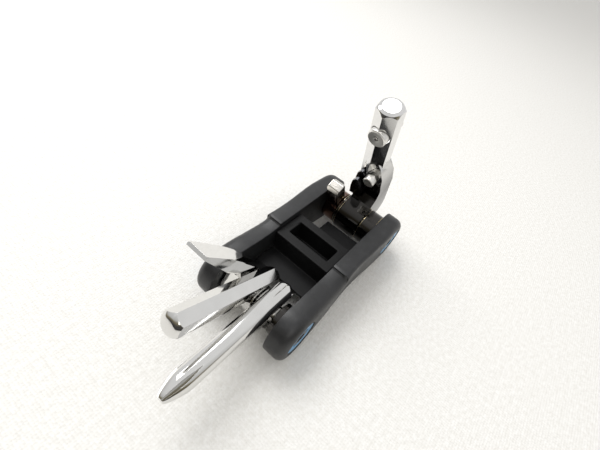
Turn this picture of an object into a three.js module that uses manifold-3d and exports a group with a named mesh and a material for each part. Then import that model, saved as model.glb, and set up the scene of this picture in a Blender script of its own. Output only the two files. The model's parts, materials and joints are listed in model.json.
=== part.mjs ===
// Folding pocket multi-tool for bicycles with a chain tool.
// Two bone-shaped side plates are joined by a bridge block. A front pivot carries a
// cross-head driver, a hex key and a flat-blade driver; a rear pivot carries the
// chain-tool arm and a short stub bit. Units are millimetres, +Z up, +X to the rear,
// and the body rests on the four lobes of its side plates at z = 0.
import * as THREE from 'three';
import { mergeVertices } from 'three/addons/utils/BufferGeometryUtils.js';
import Module from 'manifold-3d';

// ---------------- driving dimensions ----------------
const PIVOT_X = 28.0;          // half the pivot spacing
const PIVOT_Z = 9.3;           // height of both pivots over the table
const LOBE_R = 9.35;           // radius of the plate lobes
const FOOT_CUT = 0.05;         // the lobes are cut flat at z = 0
const PLATE_IN = 11.4;         // inner face of each plate from the centre plane
const PLATE_OUT = 18.4;        // outer face of each plate
const RAIL_TOP = 18.6;         // flat top of the rear half of the plate
const STEP_X = -6.5;           // where the flat rail ends
const BLOCK_X0 = -8.5, BLOCK_X1 = 5.2;   // bridge block, front to rear
const BLOCK_Z0 = 7.4, BLOCK_Z1 = 16.3;   // bridge block, underside to top
const POCKET_X0 = -4.8, POCKET_X1 = 1.8, POCKET_Y = 8.3, POCKET_Z = 9.0;
const WEB_Z1 = 8.6, WEB_X0 = -16.8, WEB_X1 = 18.0, WEB_X2 = 10.4; // thin floor before and behind the block
const BOLT_R = 2.0, SLEEVE_RI = 2.3, SLEEVE_RO = 3.0, EYE_BORE = 3.3;
const CB_R = 6.1, CB_DEPTH = 2.3;        // counterbore for the coloured ring and screw head
const TH_PHILLIPS = 178, TH_HEX = 153.4, TH_FLAT = 128.5, TH_CHAIN = 112, TH_STUB = 119;
const LEN_PHILLIPS = 38.1, LEN_HEX = 36.4, LEN_FLAT = 34.8; // tip to pivot, along the tool
const BAR_W = 5.8, BAR_BACK = 7.0, SHANK_R = 3.1, HEX_AF = 6.0;   // the shanks run beside the pivot and end behind it
const Y_PHILLIPS = -5.5, Y_HEX = 1.7, Y_FLAT = 8.05;
const ARM_Y = -0.6, ARM_W = 11.4, ARM_AF = 8.0, ARM_TIP = 50.5, KNUCKLE_R = 7.4, ARM_JOG = 2.3, BAR_H = 11.95; // the hex bar sits to the left of the knuckle
const STUB_Y = 8.4, STUB_LEN = 17.0, STUB_EYE_R = 6.6;

const wasm = await Module();
wasm.setup();
function solid(geo) {
  let g = geo.clone();
  g.deleteAttribute('normal'); g.deleteAttribute('uv');
  g = mergeVertices(g, 1e-4);
  return new wasm.Manifold(new wasm.Mesh({
    numProp: 3,
    vertProperties: new Float32Array(g.attributes.position.array),
    triVerts: new Uint32Array(g.index.array),
  }));
}
function geometry(m) {
  const mesh = m.getMesh();
  const g = new THREE.BufferGeometry();
  const v = new Float32Array(mesh.numVert * 3);
  for (let i = 0; i < mesh.numVert; i++) for (let k = 0; k < 3; k++) v[3 * i + k] = mesh.vertProperties[i * mesh.numProp + k];
  g.setAttribute('position', new THREE.BufferAttribute(v, 3));
  g.setIndex(new THREE.BufferAttribute(new Uint32Array(mesh.triVerts), 1));
  g.computeVertexNormals();
  return g;
}
const box = (x0, x1, y0, y1, z0, z1) => new THREE.BoxGeometry(x1 - x0, y1 - y0, z1 - z0)
  .translate((x0 + x1) / 2, (y0 + y1) / 2, (z0 + z1) / 2);
// profile in (x, z) pushed along Y from y0 to y1
function prismY(pts, y0, y1) {
  const sh = new THREE.Shape(pts.map(([x, z]) => new THREE.Vector2(x, z)));
  return new THREE.ExtrudeGeometry(sh, { depth: y1 - y0, bevelEnabled: false, curveSegments: 12 })
    .rotateX(Math.PI / 2).translate(0, y1, 0);
}
// profile in (x, y) pushed along Z
function prismZ(pts, z0, z1) {
  const sh = new THREE.Shape(pts.map(([x, y]) => new THREE.Vector2(x, y)));
  return new THREE.ExtrudeGeometry(sh, { depth: z1 - z0, bevelEnabled: false }).translate(0, 0, z0);
}
// profile in (y, z) pushed along X
function prismX(pts, x0, x1) {
  const sh = new THREE.Shape(pts.map(([y, z]) => new THREE.Vector2(y, z)));
  return new THREE.ExtrudeGeometry(sh, { depth: x1 - x0, bevelEnabled: false })
    .applyMatrix4(new THREE.Matrix4().set(0, 0, 1, 0, 1, 0, 0, 0, 0, 1, 0, 0, 0, 0, 0, 1)).translate(x0, 0, 0);
}
// turned shapes: [radius, position along the axis]
const latheY = (prof, seg = 40) => new THREE.LatheGeometry(prof.map(([r, y]) => new THREE.Vector2(r, y)), seg);
const latheX = (prof, seg = 40) => latheY(prof, seg).rotateZ(-Math.PI / 2);
const latheZ = (prof, seg = 40) => latheY(prof, seg).rotateX(Math.PI / 2);
const rod = (r, y0, y1, seg) => latheY([[0, y0], [r, y0], [r, y1], [0, y1]], seg);
const ring = (ri, ro, y0, y1, seg) => latheY([[ri, y0], [ro, y0], [ro, y1], [ri, y1], [ri, y0]], seg);
const hexPts = (af, rot = 0) => Array.from({ length: 6 }, (_, i) => {
  const a = rot + i * Math.PI / 3, r = af / Math.sqrt(3);
  return [r * Math.cos(a), r * Math.sin(a)];
});
const arcPts = (cx, cz, r, a0, a1, n) => Array.from({ length: n + 1 }, (_, i) => {
  const a = (a0 + (a1 - a0) * i / n) * Math.PI / 180;
  return [cx + r * Math.cos(a), cz + r * Math.sin(a)];
});

const mat = (color, roughness, metalness) => new THREE.MeshStandardMaterial({ color, roughness, metalness });
const plastic = mat(0x2b2c2e, 0.62, 0), blockPlastic = mat(0x161618, 0.55, 0), blue = mat(0x7ab4dc, 0.45, 0.1);
const chrome = mat(0xd9dbdc, 0.12, 1), steel = mat(0xb9bab8, 0.25, 1), blackSteel = mat(0x1d1e20, 0.4, 0.9);
const darkSteel = mat(0x77787a, 0.3, 1);

const object = new THREE.Group();
function add(name, geo, material, x = 0, y = 0, z = 0, thetaDeg = null) {
  const m = new THREE.Mesh(geo, material);
  m.name = name; m.position.set(x, y, z);
  if (thetaDeg !== null) m.rotation.y = -thetaDeg * Math.PI / 180;
  object.add(m);
  return m;
}

// ---------------- side plates ----------------
function plateOutline() {
  const p = [];
  p.push(...arcPts(PIVOT_X, PIVOT_Z, LOBE_R, -96, 88, 22));
  p.push([20, RAIL_TOP], [STEP_X, RAIL_TOP], [STEP_X - 0.5, RAIL_TOP - 0.9]);
  p.push([-11.5, RAIL_TOP - 1.2], [-17, RAIL_TOP - 0.9], [-22, RAIL_TOP - 0.35]);
  p.push(...arcPts(-PIVOT_X, PIVOT_Z, LOBE_R, 97, 276, 22));
  p.push([-20, 1.2], [-13, 2.2], [-5, 2.7], [5, 2.7], [13, 2.2], [20, 1.2]);
  return p;
}
function sidePlate(s) {
  // s = +1 for the left plate (+Y), -1 for the right one; the outer edges are rounded
  const pts = plateOutline();
  const grow = (d) => {
    // inset the outline by d, for the rounded outer edge
    const n = pts.length, out = [];
    for (let i = 0; i < n; i++) {
      const a = pts[(i + n - 1) % n], b = pts[i], c = pts[(i + 1) % n];
      const t = [c[0] - a[0], c[1] - a[1]]; const L = Math.hypot(t[0], t[1]);
      out.push([b[0] - d * t[1] / L, b[1] + d * t[0] / L]);
    }
    return out;
  };
  const layers = [[0, PLATE_IN], [0, PLATE_OUT - 2.0], [0.25, PLATE_OUT - 1.1], [0.8, PLATE_OUT - 0.4], [1.7, PLATE_OUT]];
  const n = pts.length, pos = [], idx = [];
  for (const [d, y] of layers) for (const q of grow(d)) pos.push(q[0], s * y, q[1]);
  const quad = (a, b, c, e) => s > 0 ? idx.push(a, c, b, b, c, e) : idx.push(a, b, c, b, e, c);
  for (let l = 0; l + 1 < layers.length; l++) for (let i = 0; i < n; i++) {
    const j = (i + 1) % n; quad(l * n + i, l * n + j, (l + 1) * n + i, (l + 1) * n + j);
  }
  const cap = (l, flip) => {
    const ring2 = grow(layers[l][0]).map(([x, z]) => new THREE.Vector2(x, z));
    for (const t of THREE.ShapeUtils.triangulateShape(ring2, [])) {
      const [a, b, c] = t.map((k) => l * n + k);
      flip ? idx.push(a, c, b) : idx.push(a, b, c);
    }
  };
  cap(0, s < 0); cap(layers.length - 1, s > 0);
  const g = new THREE.BufferGeometry();
  g.setAttribute('position', new THREE.Float32BufferAttribute(pos, 3)); g.setIndex(idx);
  let m = new wasm.Manifold(new wasm.Mesh({ numProp: 3, vertProperties: new Float32Array(pos), triVerts: new Uint32Array(idx) }));
  for (const x of [-PIVOT_X, PIVOT_X]) {
    const bore = s > 0 ? rod(2.3, 0, 30, 32) : rod(2.3, -30, 0, 32);
    m = m.subtract(solid(bore.translate(x, 0, PIVOT_Z)));
    const cb = s > 0 ? rod(CB_R, PLATE_OUT - CB_DEPTH, 30, 40) : rod(CB_R, -30, -(PLATE_OUT - CB_DEPTH), 40);
    m = m.subtract(solid(cb.translate(x, 0, PIVOT_Z)));
  }
  // flat feet under the lobes
  return geometry(m.subtract(solid(box(-60, 60, -40, 40, -5, 0))));
}
add('left_side_plate', sidePlate(1), plastic);
add('right_side_plate', sidePlate(-1), plastic);

// ---------------- bridge block ----------------
{
  const yb = PLATE_IN - 0.3;
  let m = solid(box(BLOCK_X0, BLOCK_X1, -yb, yb, BLOCK_Z0, BLOCK_Z1));
  m = m.add(solid(box(WEB_X0, BLOCK_X0 + 1, -yb, yb, BLOCK_Z0, WEB_Z1)));
  m = m.add(solid(box(BLOCK_X1 - 1, WEB_X2, -yb, yb, BLOCK_Z0, WEB_Z1)));
  m = m.add(solid(box(WEB_X2 - 1, WEB_X1, -yb, 5.2, BLOCK_Z0, WEB_Z1)));
  m = m.subtract(solid(box(POCKET_X0, POCKET_X1, -POCKET_Y, POCKET_Y, POCKET_Z, 30)));
  add('bridge_block', geometry(m), blockPlastic);
}

// ---------------- pivots ----------------
for (const [tag, x] of [['front', -PIVOT_X], ['rear', PIVOT_X]]) {
  // socket-head screw: head in the right plate, shaft through to the nut in the left plate
  const hy = -(PLATE_OUT - CB_DEPTH);
  let b = solid(rod(BOLT_R, hy - 0.1, 15.9, 32)).add(solid(rod(3.0, hy - 1.95, hy - 0.35, 32)));
  b = b.add(solid(rod(BOLT_R, hy - 1.0, hy + 1, 32)));
  b = b.subtract(solid(prismY(hexPts(3), hy - 3, hy - 0.75)));
  add(`${tag}_pivot_screw`, geometry(b), blackSteel, x, 0, PIVOT_Z);
  // barrel nut head in the left plate
  const ny = PLATE_OUT - CB_DEPTH;
  let nn = solid(rod(3.0, ny + 0.35, ny + 1.95, 32)).subtract(solid(prismY(hexPts(3), ny + 1.0, ny + 3)));
  add(`${tag}_pivot_nut`, geometry(nn), blackSteel, x, 0, PIVOT_Z);
  add(`${tag}_sleeve`, ring(SLEEVE_RI, SLEEVE_RO, -11.1, 11.1, 36), steel, x, 0, PIVOT_Z);
  for (const [side, s] of [['left', 1], ['right', -1]]) {
    const a = s * (PLATE_OUT - CB_DEPTH + 0.3), c = s * (PLATE_OUT - CB_DEPTH + 2.0);
    add(`${tag}_ring_${side}`, ring(3.4, 5.8, Math.min(a, c), Math.max(a, c), 44), blue, x, 0, PIVOT_Z);
  }
}
// spacers between the tools
add('front_spacer_right', ring(3.3, 5.4, -11.1, -8.95, 36), steel, -PIVOT_X, 0, PIVOT_Z);
add('front_washer_1', ring(3.3, 5.2, -2.1, -1.6, 36), steel, -PIVOT_X, 0, PIVOT_Z);
add('front_washer_2', ring(3.3, 5.2, 5.0, 5.4, 36), steel, -PIVOT_X, 0, PIVOT_Z);
add('rear_spacer_right', ring(3.3, 6.8, -11.1, -5.6, 40), darkSteel, PIVOT_X, 0, PIVOT_Z);
add('rear_washer', ring(3.3, 6.8, 4.3, 5.4, 40), steel, PIVOT_X, 0, PIVOT_Z);

// ---------------- front tools: X runs along the tool, Y across it ----------------
const eye = (r, y0, y1) => solid(rod(r, y0, y1, 40));
const bore = () => solid(rod(EYE_BORE, -20, 20, 40));
// flat root plate that joins the shank to its eye round the pivot
const root = (hw) => {
  const p = [[-BAR_BACK + 1.6, -BAR_W - 0.6], [7.5, -BAR_W - 0.6], [10.5, -BAR_W + 1.6], [7.0, -2.2], ...arcPts(0, 0, 5.3, 10, 190, 16), [-BAR_BACK + 1.4, -3.4]];
  return solid(prismY(p, -hw, hw));
};
{
  // cross-head driver, round shank
  const L = LEN_PHILLIPS, b = -BAR_BACK;
  let m = solid(latheX([[0, b], [1.5, b + 0.25], [2.6, b + 1.2], [SHANK_R, b + 2.6], [SHANK_R, L - 7.0], [2.95, L - 5.2], [2.45, L - 3.2], [1.75, L - 1.2], [1.35, L - 0.35], [1.05, L], [0, L]], 44).translate(0, 0, -BAR_W));
  for (let i = 0; i < 4; i++) {
    // a flute: a wedge that runs out of the shank about 10 mm behind the tip
    const g = prismX([[0.38, 0.38], [1.3, 0.6], [6, 1.75], [6, 6], [1.75, 6], [0.6, 1.3]], -13.5, 2);
    g.rotateZ(-0.15); g.rotateY(0.15);
    g.translate(L, 0.12, 0.12);
    g.rotateX(i * Math.PI / 2 + 0.35);
    g.translate(0, 0, -BAR_W);
    m = m.subtract(solid(g));
  }
  m = m.add(root(2.9)).subtract(bore());
  add('phillips_driver', geometry(m), chrome, -PIVOT_X, Y_PHILLIPS, PIVOT_Z, TH_PHILLIPS);
}
{
  const b = -BAR_BACK, L = LEN_HEX;
  let m = solid(prismX(hexPts(HEX_AF, Math.PI / 6), b, L));
  m = m.intersect(solid(latheX([[0, b - 0.01], [1.9, b - 0.01], [3.0, b + 1.1], [4, b + 2.6], [4, L - 2.0], [3.25, L - 1.0], [2.4, L - 0.3], [1.6, L - 0.01], [0, L - 0.01]], 48)));
  m = m.translate([0, 0, -BAR_W]).add(root(3.0)).subtract(bore());
  add('hex_key_6', geometry(m), chrome, -PIVOT_X, Y_HEX, PIVOT_Z, TH_HEX);
}
{
  const b = -BAR_BACK, L = LEN_FLAT;
  const side = prismY([[b, -2.3], [b + 1.4, -2.9], [15, -2.9], [22, -1.9], [L, -0.5], [L, 0.5], [22, 1.9], [15, 2.9], [b + 1.4, 2.9], [b, 2.3]], -4, 4);
  const top = prismZ([[b, -2.0], [b + 1.2, -2.65], [14, -2.65], [20, -3.05], [L + 1, -3.05], [L + 1, 3.05], [20, 3.05], [14, 2.65], [b + 1.2, 2.65], [b, 2.0]], -4, 4);
  const round = latheX([[0, b - 1], [3.1, b - 1], [3.1, 12], [3.7, 22], [3.7, 40], [0, 40]], 44);
  let m = solid(side).intersect(solid(top)).intersect(solid(round));
  m = m.translate([0, 0, -BAR_W]).add(root(2.6)).subtract(bore());
  add('flat_driver', geometry(m), chrome, -PIVOT_X, Y_FLAT, PIVOT_Z, TH_FLAT);
}

// ---------------- chain tool: X along the arm, Z towards the front of the open arm ----------------
{
  const zc = -ARM_W, lo = -ARM_W + ARM_AF / 2, hi = -ARM_W - ARM_AF / 2, hw = ARM_AF / Math.sqrt(3);
  // knuckle and neck
  const prof = [[-6.4, -8], [-5.6, -12.0], [-3.6, -14.4], [-0.6, hi], [19, hi], [27, hi + 0.45], [27, lo - 1.5], [18, lo], [14, lo], [10.5, lo + 1.2], [8.0, -3.4], ...arcPts(0, 0, KNUCKLE_R, -4, 206, 22)];
  let m = solid(prismY(prof, -hw, hw));
  m = m.intersect(solid(prismZ([[-9, -hw], [15, -hw], [21, -hw * 0.82], [25.5, -1.6], [27, ARM_JOG - 2.3], [27, ARM_JOG + 2.3], [20, hw], [-9, hw]], -30, 30)));
  m = m.add(solid(prismX(hexPts(ARM_AF, Math.PI / 6), 17, ARM_TIP).translate(0, ARM_JOG, -BAR_H))
    .intersect(solid(latheX([[0, 10], [6, 10], [6, ARM_TIP - 2.6], [4.35, ARM_TIP - 1.2], [3.85, ARM_TIP - 0.5], [2.8, ARM_TIP], [0, ARM_TIP]], 48).translate(0, ARM_JOG, -BAR_H))));
  m = m.subtract(bore());
  m = m.subtract(solid(latheZ([[0, -20], [3.6, -20], [3.6, 5], [0, 5]], 40).translate(40.4, ARM_JOG, 0)));
  m = m.subtract(solid(latheZ([[0, -12], [1.8, -12], [1.8, 5], [0, 5]], 28).translate(19.9, 0, 0)));
  add('chain_tool_arm', geometry(m), chrome, PIVOT_X, ARM_Y, PIVOT_Z, TH_CHAIN);
  // driver screw with a socket at its back end and a seat for the pin at its front end
  let s = solid(latheZ([[0, -17.4], [2.9, -17.4], [3.3, -17.0], [3.3, -7.0], [2.9, -6.6], [0, -6.9]], 40));
  s = s.subtract(solid(prismZ(hexPts(3), -19, -14.5)));
  s = s.subtract(solid(latheZ([[0, -11.6], [0.95, -11.6], [0.95, 0], [0, 0]], 24)));
  add('chain_driver_screw', geometry(s.translate([40.4, ARM_JOG, 0])), chrome, PIVOT_X, ARM_Y, PIVOT_Z, TH_CHAIN);
  add('chain_driver_pin', latheZ([[0, -11.3], [0.65, -11.3], [0.65, -6.9], [0.45, -6.6], [0, -6.6]], 20).translate(40.4, ARM_JOG, 0), steel, PIVOT_X, ARM_Y, PIVOT_Z, TH_CHAIN);
  // fixed stud
  add('chain_stud', latheZ([[0, -11.7], [1.5, -11.7], [1.5, lo + 0.3], [2.15, lo + 0.3], [2.15, -4.8], [1.9, -4.5], [0, -4.5]], 32).translate(19.9, 0, 0), steel, PIVOT_X, ARM_Y, PIVOT_Z, TH_CHAIN);
  // cradle: two pointed teeth with a slot for the chain plates between them
  const y0 = 1.4, y1 = 5.9;
  const leaf = (s1) => [[10.2, y0], [s1 - 6, y0], [s1 - 2.4, y0 + 0.7], [s1, y0 + 2.1], [s1 - 0.2, y0 + 2.9], [s1 - 2.2, y1 - 0.4], [s1 - 5.5, y1], [10.2, y1]];
  let c = solid(prismZ(leaf(20.2), -4.4, -3.1));
  c = c.add(solid(prismZ(leaf(22.2), lo + 0.3, lo + 1.5)));
  c = c.add(solid(box(11.2, 13.2, y0, y1, lo + 0.3, -3.1)));
  c = c.subtract(solid(latheZ([[0, -20], [2.6, -20], [2.6, 5], [0, 5]], 28).translate(19.9, 0, 0)));
  c = c.subtract(solid(prismY(prof.map(([a, b]) => [a + (a > 5 ? 0.35 : 0), b]), -hw - 0.3, hw + 0.3)));
  add('chain_cradle', geometry(c), blackSteel, PIVOT_X, ARM_Y, PIVOT_Z, TH_CHAIN);
}
{
  // short stub bit
  let m = solid(prismX([[-2.6, -2.3], [-2.1, -2.8], [2.1, -2.8], [2.6, -2.3], [2.6, 2.3], [2.1, 2.8], [-2.1, 2.8], [-2.6, 2.3]], 2, STUB_LEN));
  m = m.intersect(solid(prismY([[1, -3], [STUB_LEN - 1.6, -3], [STUB_LEN, -1.4], [STUB_LEN, 1.4], [STUB_LEN - 1.6, 3], [1, 3]], -4, 4)));
  m = m.add(eye(STUB_EYE_R, -2.6, 2.6)).subtract(bore());
  add('stub_bit', geometry(m), darkSteel, PIVOT_X, STUB_Y, PIVOT_Z, TH_STUB);
}

// the frame's origin is the centre of the bottom of the bounding box
object.updateMatrixWorld(true);
const bb = new THREE.Box3().setFromObject(object, true);
object.position.x = -(bb.min.x + bb.max.x) / 2;
const group = new THREE.Group();
group.add(object);
export default group;
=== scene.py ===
import math
import bpy, bmesh
from mathutils import Vector, Matrix
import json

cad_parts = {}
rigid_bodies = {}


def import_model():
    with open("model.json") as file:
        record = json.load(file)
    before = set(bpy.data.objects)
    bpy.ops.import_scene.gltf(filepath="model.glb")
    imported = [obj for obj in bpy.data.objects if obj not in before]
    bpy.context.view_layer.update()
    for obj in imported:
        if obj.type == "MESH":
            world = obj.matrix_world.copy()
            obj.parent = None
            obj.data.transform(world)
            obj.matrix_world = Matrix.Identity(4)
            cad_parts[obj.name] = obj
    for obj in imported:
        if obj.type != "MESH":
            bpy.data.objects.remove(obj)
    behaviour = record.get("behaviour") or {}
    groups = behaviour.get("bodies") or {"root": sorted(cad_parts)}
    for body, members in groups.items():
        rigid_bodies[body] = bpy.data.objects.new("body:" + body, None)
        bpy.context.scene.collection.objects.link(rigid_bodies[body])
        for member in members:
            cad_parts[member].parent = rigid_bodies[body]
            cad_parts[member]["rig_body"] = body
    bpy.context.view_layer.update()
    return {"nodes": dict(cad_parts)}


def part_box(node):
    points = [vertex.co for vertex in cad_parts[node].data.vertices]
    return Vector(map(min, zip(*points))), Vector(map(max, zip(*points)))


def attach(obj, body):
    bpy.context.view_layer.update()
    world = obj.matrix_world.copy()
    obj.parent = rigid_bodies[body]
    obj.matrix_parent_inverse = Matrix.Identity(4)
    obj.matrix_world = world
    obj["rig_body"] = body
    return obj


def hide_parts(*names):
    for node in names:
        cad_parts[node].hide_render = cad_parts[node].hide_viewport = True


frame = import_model()
nodes = frame["nodes"]
MM = 0.001
lo_r, hi_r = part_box("rear_sleeve")
lo_f, hi_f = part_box("front_sleeve")
XR = (lo_r[0] + hi_r[0]) / 2
XF = (lo_f[0] + hi_f[0]) / 2
XC = (XR + XF) / 2            # middle of the handle
PZ = (lo_r[2] + hi_r[2]) / 2


# ------------------------------------------------------------------ materials
def srgb(r, g, b):
    f = lambda c: (c / 255 / 12.92) if c / 255 <= 0.04045 else ((c / 255 + 0.055) / 1.055) ** 2.4
    return (f(r), f(g), f(b), 1.0)


class Mat:
    def __init__(self, name):
        self.m = bpy.data.materials.new(name)
        self.m.use_nodes = True
        self.nt = self.m.node_tree
        self.b = self.nt.nodes["Principled BSDF"]
        self.tc = self.nt.nodes.new("ShaderNodeTexCoord")

    def n(self, kind, **kw):
        x = self.nt.nodes.new(kind)
        for k, v in kw.items():
            if hasattr(x, k) and k not in ("Scale",):
                setattr(x, k, v)
        return x

    def link(self, a, b):
        self.nt.links.new(a, b)

    def noise(self, scale, detail=3, rough=0.5, coord=None, stretch=None):
        x = self.n("ShaderNodeTexNoise")
        x.inputs["Scale"].default_value = scale
        x.inputs["Detail"].default_value = detail
        x.inputs["Roughness"].default_value = rough
        src = coord or self.tc.outputs["Object"]
        if stretch:
            mp = self.n("ShaderNodeMapping")
            mp.inputs["Scale"].default_value = stretch
            self.link(src, mp.inputs["Vector"])
            src = mp.outputs["Vector"]
        self.link(src, x.inputs["Vector"])
        return x.outputs["Fac"]

    def ramp(self, fac, stops):
        x = self.n("ShaderNodeValToRGB")
        cr = x.color_ramp
        while len(cr.elements) < len(stops):
            cr.elements.new(0.5)
        for e, (p, c) in zip(cr.elements, stops):
            e.position = p
            e.color = c if len(c) == 4 else (*c, 1)
        self.link(fac, x.inputs["Fac"])
        return x.outputs["Color"]

    def maprange(self, fac, a, b, c, d):
        x = self.n("ShaderNodeMapRange")
        for k, v in zip(("From Min", "From Max", "To Min", "To Max"), (a, b, c, d)):
            x.inputs[k].default_value = v
        self.link(fac, x.inputs["Value"])
        return x.outputs["Result"]

    def bump(self, h, strength, dist, prev=None):
        x = self.n("ShaderNodeBump")
        x.inputs["Strength"].default_value = strength
        x.inputs["Distance"].default_value = dist
        self.link(h, x.inputs["Height"])
        if prev:
            self.link(prev, x.inputs["Normal"])
        return x.outputs["Normal"]


def plastic(name, base, light, rough, grain, spec=0.5):
    k = Mat(name)
    fine = k.noise(2600, 4, 0.6)
    mid = k.noise(420, 3, 0.55)
    blot = k.noise(90, 2)
    k.link(k.ramp(k.maprange(mid, 0.3, 0.72, 0, 1), [(0.0, base), (0.55, tuple(0.65 * a + 0.35 * b for a, b in zip(base, light))), (1.0, light)]), k.b.inputs["Base Color"])
    k.link(k.maprange(blot, 0.3, 0.7, rough - 0.05, rough + 0.07), k.b.inputs["Roughness"])
    k.b.inputs["Specular IOR Level"].default_value = spec
    nrm = k.bump(fine, grain, 0.00006)
    nrm = k.bump(k.noise(1100, 2), grain * 0.6, 0.00008, nrm)
    k.link(nrm, k.b.inputs["Normal"])
    return k.m


def metal(name, tint, rough0, rough1, lines=None, scratch=0.05, wave=0.0):
    k = Mat(name)
    k.b.inputs["Metallic"].default_value = 1.0
    k.link(k.ramp(k.noise(160, 3), [(0.3, tuple(c * 0.94 for c in tint)), (0.7, tint)]), k.b.inputs["Base Color"])
    smudge = k.noise(70, 4, 0.6)
    k.link(k.maprange(smudge, 0.35, 0.7, rough0, rough1), k.b.inputs["Roughness"])
    nrm = None
    if lines:
        nrm = k.bump(k.noise(900, 2, 0.5, stretch=lines), scratch, 0.00003)
    if wave:
        nrm = k.bump(k.noise(110, 1), wave, 0.0005, nrm)
    if nrm:
        k.link(nrm, k.b.inputs["Normal"])
    return k.m


M_PLATE = plastic("plate_nylon", (0.0095, 0.0097, 0.0104), (0.0175, 0.0179, 0.0192), 0.4, 0.4, 0.5)
M_BLOCK = plastic("block_nylon", (0.0028, 0.0028, 0.003), (0.0052, 0.0052, 0.0056), 0.5, 0.2, 0.22)
M_CHROME = metal("chrome_plate", (0.74, 0.735, 0.72), 0.05, 0.14, (1, 1, 1), 0.06, 0.12)
M_CHROME_ARM = metal("chrome_plate_arm", (0.76, 0.755, 0.745), 0.06, 0.15, (1, 1, 1), 0.06, 0.18)
M_STEEL = metal("turned_steel", (0.56, 0.55, 0.525), 0.16, 0.30, (1, 6, 1), 0.25)
M_NICKEL = metal("nickel_plate_warm", (0.74, 0.71, 0.66), 0.09, 0.2, (1, 1, 1), 0.1, 0.1)
# painted highlight: a lighter tint than turned_steel stands in for the bright lathe highlights; the rougher turned
# finish is real
M_TURNED_HIGHLIGHT = metal("turned_face_painted_highlight", (0.86, 0.85, 0.82), 0.34, 0.46, (1, 6, 1), 0.25)
M_DARK = metal("black_chrome", (0.060, 0.057, 0.054), 0.10, 0.24, (1, 1, 1), 0.1, 0.12)
# painted highlight: a bright golden colour given to the rounded edges of the rear washer and spacer
M_EDGE_HIGHLIGHT = metal("painted_edge_highlight", (0.78, 0.66, 0.42), 0.14, 0.26, (1, 1, 1), 0.1, 0.1)
M_BLACK = metal("black_oxide_steel", (0.045, 0.046, 0.05), 0.2, 0.36, (1, 1, 1), 0.12, 0.08)


def paint_root_shade(mat, theta, start, end, dark):
    """Painted shade: the base colour is darkened near the rear pivot, where the tool's root lies between the side
    plates, and fades to the metal's own colour along the tool.
    """
    nt, b = mat.node_tree, mat.node_tree.nodes["Principled BSDF"]
    tc = nt.nodes.new("ShaderNodeTexCoord")
    sub = nt.nodes.new("ShaderNodeVectorMath")
    sub.operation = "SUBTRACT"
    sub.inputs[1].default_value = (XR, 0, PZ)
    nt.links.new(tc.outputs["Object"], sub.inputs[0])
    dot = nt.nodes.new("ShaderNodeVectorMath")
    dot.operation = "DOT_PRODUCT"
    dot.inputs[1].default_value = (math.cos(theta), 0, math.sin(theta))
    nt.links.new(sub.outputs["Vector"], dot.inputs[0])
    mr = nt.nodes.new("ShaderNodeMapRange")
    mr.inputs["From Min"].default_value = start * MM
    mr.inputs["From Max"].default_value = end * MM
    nt.links.new(dot.outputs["Value"], mr.inputs["Value"])
    mx = nt.nodes.new("ShaderNodeMix")
    mx.data_type = "RGBA"
    old = b.inputs["Base Color"].links[0].from_socket
    a_in = [i for i in mx.inputs if i.name == "A" and i.type == "RGBA"][0]
    b_in = [i for i in mx.inputs if i.name == "B" and i.type == "RGBA"][0]
    a_in.default_value = dark
    nt.links.new(mr.outputs["Result"], mx.inputs["Factor"])
    nt.links.new(old, b_in)
    nt.links.new([o for o in mx.outputs if o.type == "RGBA"][0], b.inputs["Base Color"])


# painted shade: the chain tool arm and the stub bit are darkened near the rear pivot
paint_root_shade(M_CHROME_ARM, math.radians(112), 14, 24, (0.045, 0.043, 0.041, 1))
paint_root_shade(M_NICKEL, math.radians(119), 12.6, 15.6, (0.15, 0.085, 0.06, 1))


def blue_metal():
    k = Mat("blue_anodised")
    k.b.inputs["Metallic"].default_value = 0.25
    c0, c1 = srgb(92, 150, 196), srgb(126, 178, 216)
    k.link(k.ramp(k.noise(500, 3), [(0.3, c0), (0.72, c1)]), k.b.inputs["Base Color"])
    k.link(k.maprange(k.noise(240, 3), 0.3, 0.7, 0.3, 0.42), k.b.inputs["Roughness"])
    k.link(k.bump(k.noise(2400, 3), 0.25, 0.00004), k.b.inputs["Normal"])
    return k.m


M_BLUE = blue_metal()


# ------------------------------------------------------------------ mesh help
def link_obj(name, me):
    o = bpy.data.objects.new(name, me)
    bpy.context.scene.collection.objects.link(o)
    return o


def body_of_node(node):
    return nodes[node]["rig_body"]


def smooth(me, angle):
    for p in me.polygons:
        p.use_smooth = True
    me.set_sharp_from_angle(angle=math.radians(angle))


def put(o, node, mat, *more):
    o.data.materials.clear()
    o.data.materials.append(mat)
    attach(o, body_of_node(node))
    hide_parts(node, *more)
    return o


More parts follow.
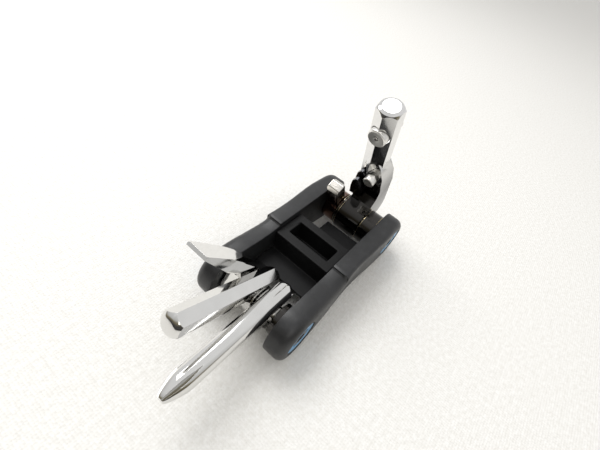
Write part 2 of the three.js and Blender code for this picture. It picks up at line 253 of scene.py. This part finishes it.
def refine(node, mat, bevel=0.15, seg=3, angle=30, limit=32, edge=None):
    """A finer copy of a CAD solid: welded, its edges rounded, smooth where it is turned."""
    src = nodes[node].data
    me = src.copy()
    me.name = node + "_fine"
    bm = bmesh.new()
    bm.from_mesh(me)
    bmesh.ops.remove_doubles(bm, verts=bm.verts, dist=0.000002)
    bmesh.ops.dissolve_limit(bm, angle_limit=math.radians(1.0), verts=bm.verts, edges=bm.edges)
    bmesh.ops.recalc_face_normals(bm, faces=bm.faces)
    bm.to_mesh(me)
    bm.free()
    me.materials.clear()
    o = link_obj(node + "_fine", me)
    if me.has_custom_normals if hasattr(me, "has_custom_normals") else False:
        with bpy.context.temp_override(object=o, active_object=o):
            bpy.ops.mesh.customdata_custom_splitnormals_clear()
    smooth(me, angle)
    if bevel:
        b = o.modifiers.new("edge_round", "BEVEL")
        b.width = bevel * MM
        b.segments = seg
        b.limit_method = "ANGLE"
        b.angle_limit = math.radians(limit)
        b.harden_normals = True
        b.use_clamp_overlap = True
        b.miter_outer = "MITER_ARC"
    # the bevel faces take the edge material, a painted highlight
    if edge:
        b.material = 1
        put(o, node, mat)
        o.data.materials.append(edge)
        return o
    return put(o, node, mat)


def apply_mods(o):
    dg = bpy.context.evaluated_depsgraph_get()
    me = bpy.data.meshes.new_from_object(o.evaluated_get(dg))
    old = o.data
    o.modifiers.clear()
    o.data = me
    bpy.data.meshes.remove(old)
    return o


# ------------------------------------------------------------------ side plates
PLATE_IN, PLATE_OUT, LOBE_R, RAIL, STEP = 11.4, 18.4, 9.35, 18.6, -6.5


def outline():
    """Closed outline in (x, z), mm from the handle's middle: a list of points."""
    P = 28.0
    z0 = PZ / MM
    pts = []
    for i in range(73):
        a = math.radians(-96 + 184 * i / 72)
        pts.append((P + LOBE_R * math.cos(a), z0 + LOBE_R * math.sin(a)))
    for x in (24, 20, 16, 12, 8, 4, 0, -3, -5.2, STEP + 0.25):
        pts.append((x, RAIL))
    pts.append((STEP, RAIL - 0.12))
    pts.append((STEP - 0.12, RAIL - 0.6))
    # smooth waist of the front half
    ctrl = [(STEP - 0.5, RAIL - 0.92), (-11.5, RAIL - 1.2), (-17, RAIL - 0.9), (-22, RAIL - 0.35), (-P + LOBE_R * math.cos(math.radians(97)), z0 + LOBE_R * math.sin(math.radians(97)))]
    pts += catmull(ctrl, 7)
    for i in range(1, 73):
        a = math.radians(97 + 179 * i / 72)
        pts.append((-P + LOBE_R * math.cos(a), z0 + LOBE_R * math.sin(a)))
    low = [(-20, 1.2), (-13, 2.2), (-5, 2.7), (5, 2.7), (13, 2.2), (20, 1.2)]
    first = (-P + LOBE_R * math.cos(math.radians(276)), z0 + LOBE_R * math.sin(math.radians(276)))
    last = (P + LOBE_R * math.cos(math.radians(-96)), z0 + LOBE_R * math.sin(math.radians(-96)))
    pts += catmull([first] + low + [last], 6)[1:-1]
    return [(x, max(z, 0.0)) for x, z in pts]


def catmull(c, n):
    out = []
    ext = [tuple(2 * a - b for a, b in zip(c[0], c[1]))] + list(c) + [tuple(2 * a - b for a, b in zip(c[-1], c[-2]))]
    for i in range(1, len(ext) - 2):
        p0, p1, p2, p3 = (Vector(ext[j]) for j in (i - 1, i, i + 1, i + 2))
        for k in range(n):
            t = k / n
            q = 0.5 * ((2 * p1) + (p2 - p0) * t + (2 * p0 - 5 * p1 + 4 * p2 - p3) * t * t + (3 * p1 - p0 - 3 * p2 + p3) * t ** 3)
            out.append((q.x, q.y))
    out.append(tuple(c[-1]))
    return out


def sstep(a, b, x):
    t = min(1, max(0, (x - a) / (b - a)))
    return t * t * (3 - 2 * t)


def plate(node, s):
    pts = outline()
    n = len(pts)
    nr = []
    for i in range(n):
        a, c = pts[i - 1], pts[(i + 1) % n]
        t = Vector((c[0] - a[0], c[1] - a[1])).normalized()
        nr.append((-t.y, t.x))     # points inwards
    z0 = PZ / MM
    bm = bmesh.new()
    rows = []

    def row(fn):
        r = []
        for i, (x, z) in enumerate(pts):
            q = fn(i, x, z)
            r.append(bm.verts.new((XC + q[0] * MM, s * q[1] * MM, q[2] * MM)))
        rows.append(r)

    def yout(x):
        return PLATE_OUT - 0.9 * math.exp(-((x - 1) / 13.0) ** 2)

    def rad(x, z):
        top = sstep(z0 - 3, z0 + 6, z)
        front = 1 - sstep(STEP - 0.9, STEP + 0.5, x)
        lobe = sstep(17, 31, x)
        r_top = 1.25 + 1.95 * front + 1.75 * lobe
        return r_top * top + 2.7 * (1 - top)

    # small round on the inner edge
    for k in range(4):
        f = math.radians(30 * k)
        row(lambda i, x, z: (x + nr[i][0] * 0.3 * (1 - math.sin(f)), PLATE_IN + 0.3 * (1 - math.cos(f)), z + nr[i][1] * 0.3 * (1 - math.sin(f))))
    for k in range(9):
        f = math.radians(90 * k / 8)
        row(lambda i, x, z: (x + nr[i][0] * rad(x, z) * (1 - math.cos(f)), yout(x) - rad(x, z) * (1 - math.sin(f)), z + nr[i][1] * rad(x, z) * (1 - math.cos(f))))
    for k in range(1, 8):
        t = k / 8.0
        def fn(i, x, z):
            r = rad(x, z)
            bx, bz = x + nr[i][0] * r, z + nr[i][1] * r
            cx = max(-26.5, min(26.5, x * 0.985))
            qx, qz = bx + (cx - bx) * t, bz + (z0 - bz) * t
            return (qx, yout(qx) + 0.0, qz)
        row(fn)
    for a, b in zip(rows, rows[1:]):
        for i in range(n):
            j = (i + 1) % n
            bm.faces.new((a[i], a[j], b[j], b[i]))
    # close the outer face on its middle line, and the inner face flat
    bmesh.ops.remove_doubles(bm, verts=bm.verts, dist=0.000004)
    bm.verts.ensure_lookup_table()
    edges = [e for e in bm.edges if e.is_boundary]
    outer = [e for e in edges if all(abs(v.co.y) > (PLATE_IN + 3) * MM for v in e.verts)]
    inner = [e for e in edges if e not in outer]
    bmesh.ops.contextual_create(bm, geom=inner)
    bmesh.ops.triangle_fill(bm, edges=outer, use_beauty=True)
    bmesh.ops.recalc_face_normals(bm, faces=bm.faces)
    me = bpy.data.meshes.new(node + "_fine")
    bm.to_mesh(me)
    bm.free()
    o = link_obj(node + "_fine", me)
    # counterbores with a chamfered rim, and the screw hole
    cut = bmesh.new()
    for px in (XF, XR):
        prof = [(0, 9.0), (2.3, 9.0), (2.3, PLATE_OUT - 2.3), (6.1, PLATE_OUT - 2.3), (6.1, PLATE_OUT - 0.35), (6.45, PLATE_OUT), (6.45, 22), (0, 22)]
        segs = 96
        vs = [[cut.verts.new((px + r * MM * math.cos(2 * math.pi * a / segs), s * y * MM, PZ + r * MM * math.sin(2 * math.pi * a / segs))) for a in range(segs)] if r > 0 else [cut.verts.new((px, s * y * MM, PZ))] for r, y in prof]
        for a, b in zip(vs, vs[1:]):
            for i in range(segs):
                j = (i + 1) % segs
                if len(a) == 1:
                    cut.faces.new((a[0], b[i], b[j]))
                elif len(b) == 1:
                    cut.faces.new((a[i], b[0], a[j]))
                else:
                    cut.faces.new((a[i], b[i], b[j], a[j]))
    bmesh.ops.recalc_face_normals(cut, faces=cut.faces)
    cme = bpy.data.meshes.new("cut")
    cut.to_mesh(cme)
    cut.free()
    co = link_obj("cut", cme)
    md = o.modifiers.new("cut", "BOOLEAN")
    md.object = co
    md.operation = "DIFFERENCE"
    md.solver = "EXACT"
    apply_mods(o)
    bpy.data.objects.remove(co)
    smooth(o.data, 26)
    return put(o, node, M_PLATE)


plate("left_side_plate", 1)
plate("right_side_plate", -1)

# ------------------------------------------------------------------ block, pivots, tools
refine("bridge_block", M_BLOCK, 0.32, 3)
for t in ("front", "rear"):
    refine(f"{t}_pivot_screw", M_BLACK, 0.16, 3)
    refine(f"{t}_pivot_nut", M_BLACK, 0.16, 3)
    refine(f"{t}_sleeve", M_STEEL, 0.1, 2)
    for s in ("left", "right"):
        refine(f"{t}_ring_{s}", M_BLUE, 0.22, 3)
for n in ("front_washer_1", "front_washer_2"):
    refine(n, M_STEEL, 0.14, 2)
refine("front_spacer_right", M_DARK, 0.2, 3)
# painted highlight on the rounded edges of the rear washer and rear spacer
refine("rear_washer", M_DARK, 0.16, 2, edge=M_EDGE_HIGHLIGHT)
refine("rear_spacer_right", M_DARK, 0.3, 3, edge=M_EDGE_HIGHLIGHT)
refine("phillips_driver", M_CHROME, 0.14, 3, limit=30)
refine("hex_key_6", M_CHROME, 0.3, 4, angle=24, limit=24)
refine("flat_driver", M_CHROME, 0.16, 3, angle=24)
refine("chain_tool_arm", M_CHROME_ARM, 0.5, 5, angle=24, limit=22)
refine("chain_cradle", M_BLACK, 0.18, 3)
# painted highlight on the chain stud and the driver screw face
refine("chain_stud", M_TURNED_HIGHLIGHT, 0.12, 3)
refine("chain_driver_pin", M_STEEL, 0.08, 2)
refine("chain_driver_screw", M_TURNED_HIGHLIGHT, 0.12, 3)
refine("stub_bit", M_NICKEL, 0.25, 3)

# ------------------------------------------------------------------ floor, light, camera
bm = bmesh.new()
bmesh.ops.create_grid(bm, x_segments=2, y_segments=2, size=1.6)
me = bpy.data.meshes.new("floor")
bm.to_mesh(me)
bm.free()
floor = link_obj("floor", me)
floor.location.z = -0.00002
k = Mat("floor_white")
k.link(k.ramp(k.noise(700, 2), [(0.3, (0.74, 0.725, 0.69)), (0.7, (0.82, 0.81, 0.785))]), k.b.inputs["Base Color"])
k.b.inputs["Roughness"].default_value = 0.8
wv = k.n("ShaderNodeTexVoronoi")
wv.inputs["Scale"].default_value = 1200
wv.inputs["Randomness"].default_value = 0.35
k.link(k.tc.outputs["Object"], wv.inputs["Vector"])
k.link(k.bump(wv.outputs["Distance"], 0.6, 0.0003), k.b.inputs["Normal"])
floor.data.materials.append(k.m)

world = bpy.data.worlds.new("studio")
bpy.context.scene.world = world
world.use_nodes = True
nt = world.node_tree
bg = nt.nodes["Background"]
tc = nt.nodes.new("ShaderNodeTexCoord")
# a bright studio behind and above the tool, darker towards the near side
dot = nt.nodes.new("ShaderNodeVectorMath")
dot.operation = "DOT_PRODUCT"
dot.inputs[1].default_value = (0.604, 0.252, 0.756)
nt.links.new(tc.outputs["Generated"], dot.inputs[0])
mr = nt.nodes.new("ShaderNodeMapRange")
mr.inputs["From Min"].default_value = -1.0
nt.links.new(dot.outputs["Value"], mr.inputs["Value"])
rp = nt.nodes.new("ShaderNodeValToRGB")
cr = rp.color_ramp
for p_, c_ in ((0.30, (0.07, 0.068, 0.066, 1)), (0.46, (0.27, 0.235, 0.155, 1)), (0.56, (0.72, 0.72, 0.71, 1)), (0.74, (1.0, 1.0, 1.0, 1))):
    cr.elements.new(p_).color = c_
cr.elements[0].color = (0.05, 0.048, 0.045, 1)
cr.elements[-1].color = (1, 1, 1, 1)
nt.links.new(mr.outputs["Result"], rp.inputs["Fac"])
nt.links.new(rp.outputs["Color"], bg.inputs["Color"])
bg.inputs["Strength"].default_value = 0.85


def area(name, loc, target, size, power, color=(1, 1, 1)):
    l = bpy.data.lights.new(name, "AREA")
    l.shape = "RECTANGLE"
    l.size, l.size_y = size
    l.energy = power
    l.color = color
    o = bpy.data.objects.new(name, l)
    bpy.context.scene.collection.objects.link(o)
    o.location = loc
    o.rotation_mode = "QUATERNION"
    o.rotation_quaternion = (Vector(target) - Vector(loc)).to_track_quat("-Z", "Y")
    return o


area("key", (0.10, 0.35, 0.55), (0, 0, 0), (0.45, 0.35), 3.0)
area("fill", (-0.35, -0.3, 0.45), (0, 0, 0.01), (0.3, 0.3), 0.6, (1, 0.98, 0.95))

cam = bpy.data.cameras.new("camera")
camo = bpy.data.objects.new("camera", cam)
bpy.context.scene.collection.objects.link(camo)
bpy.context.scene.camera = camo
C = (-76.73, -29.261, 104.952)
FWD = Vector((0.62594727, 0.30111265, -0.71938945))
R = Vector((0.62106923, -0.75036855, 0.22631847))
U = Vector((0.47165986, 0.58845408, 0.65670295))
rot = Matrix((R, U, -FWD)).transposed()
camo.matrix_world = Matrix.Translation((XC + C[0] * MM, C[1] * MM, C[2] * MM)) @ rot.to_4x4()
cam.sensor_width = 36
cam.lens = 348.964 / 600 * 36
cam.clip_start, cam.clip_end = 0.005, 10

bpy.context.scene.view_settings.view_transform = "Standard"
bpy.context.scene.view_settings.exposure = 0.0
